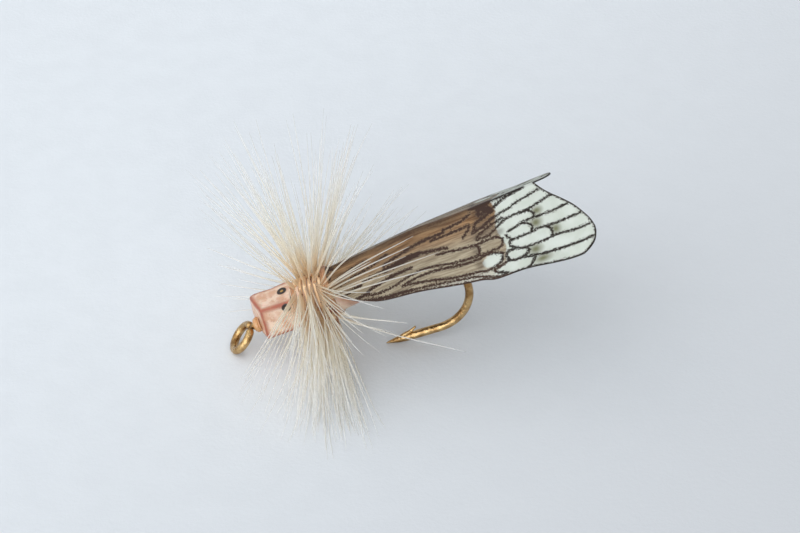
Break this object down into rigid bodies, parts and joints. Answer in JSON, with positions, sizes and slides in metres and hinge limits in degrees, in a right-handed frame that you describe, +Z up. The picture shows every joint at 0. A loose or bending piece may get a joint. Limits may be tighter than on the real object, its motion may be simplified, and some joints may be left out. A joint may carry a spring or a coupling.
{
  "type": "dry fly",
  "caption": "Dry fly with a folded tent wing of veined film, a wound cream hackle collar and a boxy film head, tied on a down-eye hook.",
  "frame": {"origin": "bottom centre of the fly's box as it stands on its hook eye and hook point, in the hook's own plane", "axes": "+X from the hook eye towards the bend and the wing's rear end, +Y to the fly's right, +Z up"},
  "size_m": [0.0236, 0.0212, 0.0146],
  "materials": {
    "hook_wire": "bronze-gold plated wire, glossy",
    "tying_thread": "waxed thread, satin",
    "body_yarn": "dubbed fur, matt",
    "body_film": "printed film, satin",
    "head_film": "printed film, satin",
    "wing_film": "printed film, satin",
    "hackle_quill": "feather quill, satin",
    "hackle_barb": "feather barbs, silky",
    "cement": "clear amber varnish, glossy"
  },
  "bodies": {
    "root": {"hook": "hook_wire", "thread_base": "tying_thread", "underbody": "body_yarn", "body_sleeve": "body_film", "wing": "wing_film", "wing_lashing": "tying_thread", "hackle_stem": "hackle_quill", "hackle_tie_off": "tying_thread", "head": "head_film", "whip_finish": "tying_thread", "head_cement": "cement", "hackle_barbs_1": "hackle_barb", "hackle_barbs_2": "hackle_barb", "hackle_barbs_3": "hackle_barb", "hackle_barbs_4": "hackle_barb", "hackle_barbs_5": "hackle_barb"}
  },
  "joints": []
}
